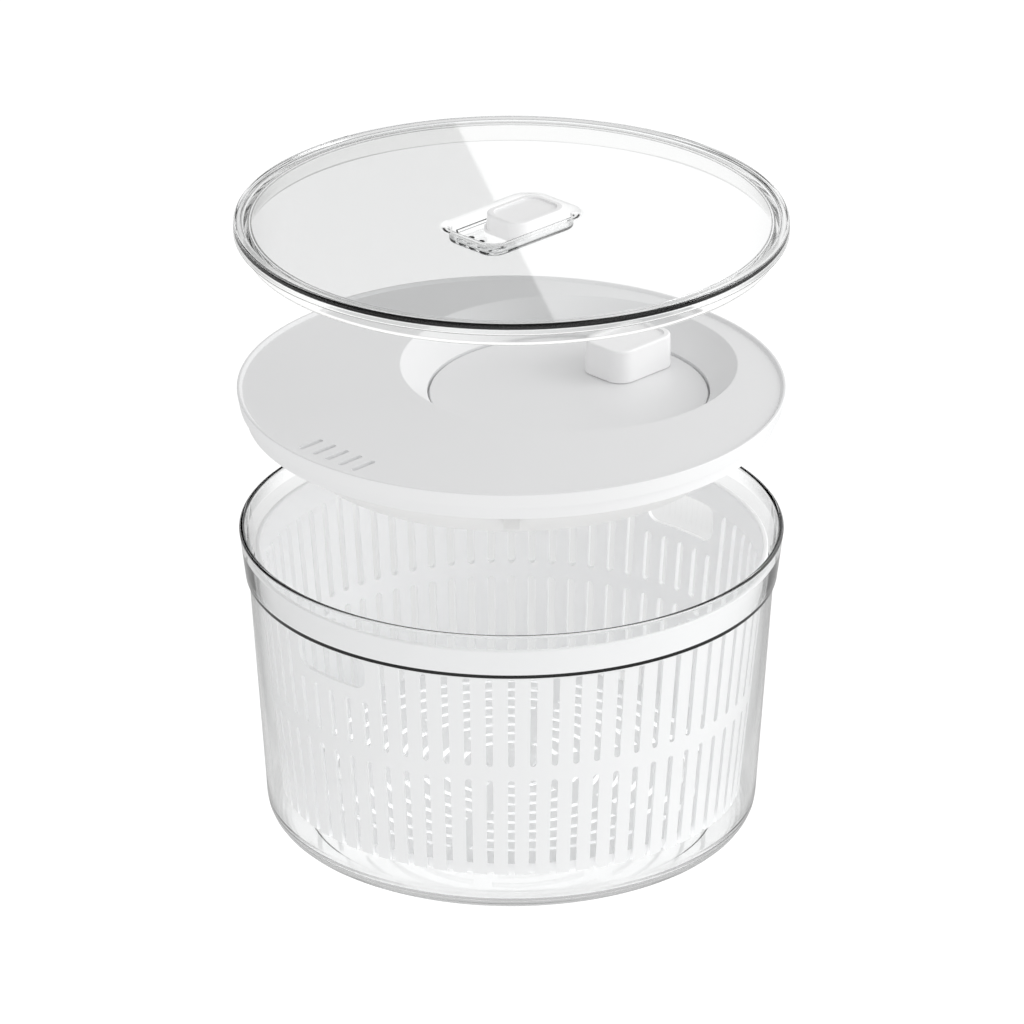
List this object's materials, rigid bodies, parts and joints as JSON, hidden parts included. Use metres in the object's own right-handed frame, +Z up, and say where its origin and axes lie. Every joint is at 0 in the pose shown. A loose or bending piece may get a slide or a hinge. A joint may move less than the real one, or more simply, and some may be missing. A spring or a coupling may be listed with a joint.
{
  "type": "salad spinner",
  "caption": "Round salad spinner opened up: clear bowl, slotted white basket, white geared drive lid with a crank knob, and a clear storage lid with a sliding vent.",
  "frame": {"origin": "centre of the bowl's foot, on the surface that it stands on", "axes": "+Z up along the spin axis; +Y from the drive lid's vent slots towards its crank knob; +X to the right of someone who looks along +Y"},
  "size_m": [0.2454, 0.2454, 0.29],
  "materials": {
    "clear_plastic": "clear polished moulded plastic",
    "white_basket": "white moulded plastic, satin gloss",
    "white_lid": "white moulded plastic, satin gloss",
    "white_knob": "white moulded plastic, satin gloss",
    "clear_seal": "soft clear silicone, slightly hazy",
    "inner_plastic": "white matt moulded plastic",
    "gear_plastic": "natural acetal, satin",
    "steel": "stainless steel, turned"
  },
  "bodies": {
    "bowl": {"outer_bowl": "clear_plastic", "bowl_pivot_pin": "steel"},
    "basket_carrier": {"pivot_bush": "gear_plastic"},
    "basket": {"basket": "white_basket", "basket_hub": "white_basket"},
    "drive_lid": {"lid_shell": "white_lid", "gear_cover": "inner_plastic", "axle_bush": "gear_plastic", "shaft_bush": "gear_plastic", "cover_screws": "steel"},
    "crank": {"crank_disc": "white_lid", "crank_axle": "steel", "axle_circlip": "steel", "ring_gear": "gear_plastic", "gear_screws": "steel", "knob_pin": "steel", "knob_screw": "steel"},
    "knob": {"knob_body": "white_knob", "knob_cap": "white_knob"},
    "drive_rotor": {"pinion": "gear_plastic", "drive_shaft": "steel", "drive_plate": "inner_plastic", "plate_screw": "steel"},
    "clear_lid": {"clear_lid": "clear_plastic", "lid_seal": "clear_seal"},
    "vent_slider": {"vent_slider": "white_knob", "slider_insert": "white_knob", "vent_pad": "clear_seal"}
  },
  "joints": [
    {"name": "basket_lift", "type": "slide", "parent": "bowl", "child": "basket_carrier", "axis": [0, 0, 1], "range_m": [0, 0.13]},
    {"name": "basket_spin", "type": "hinge", "parent": "basket_carrier", "child": "basket", "pos_m": [0, 0, 0.018], "axis": [0, 0, 1], "continuous": true},
    {"name": "drive_lid_lift", "type": "slide", "parent": "basket_carrier", "child": "drive_lid", "axis": [0, 0, 1], "range_m": [-0.0605, 0]},
    {"name": "crank_spin", "type": "hinge", "parent": "drive_lid", "child": "crank", "pos_m": [0, 0.03625, 0.187], "axis": [0, 0, 1], "continuous": true},
    {"name": "knob_swivel", "type": "hinge", "parent": "crank", "child": "knob", "pos_m": [0, 0.07425, 0.2], "axis": [0, 0, 1], "continuous": true},
    {"name": "shaft_spin", "type": "hinge", "parent": "drive_lid", "child": "drive_rotor", "pos_m": [0, 0, 0.18], "axis": [0, 0, 1], "continuous": true},
    {"name": "clear_lid_lift", "type": "slide", "parent": "drive_lid", "child": "clear_lid", "axis": [0, 0, 1], "range_m": [-0.0692, 0]},
    {"name": "vent_slide", "type": "slide", "parent": "clear_lid", "child": "vent_slider", "axis": [0, -1, 0], "range_m": [0, 0.017]}
  ],
  "couplings": [
    {"joint": "basket_spin", "follows": "crank_spin", "ratio": 4.625},
    {"joint": "shaft_spin", "follows": "crank_spin", "ratio": 4.625}
  ]
}
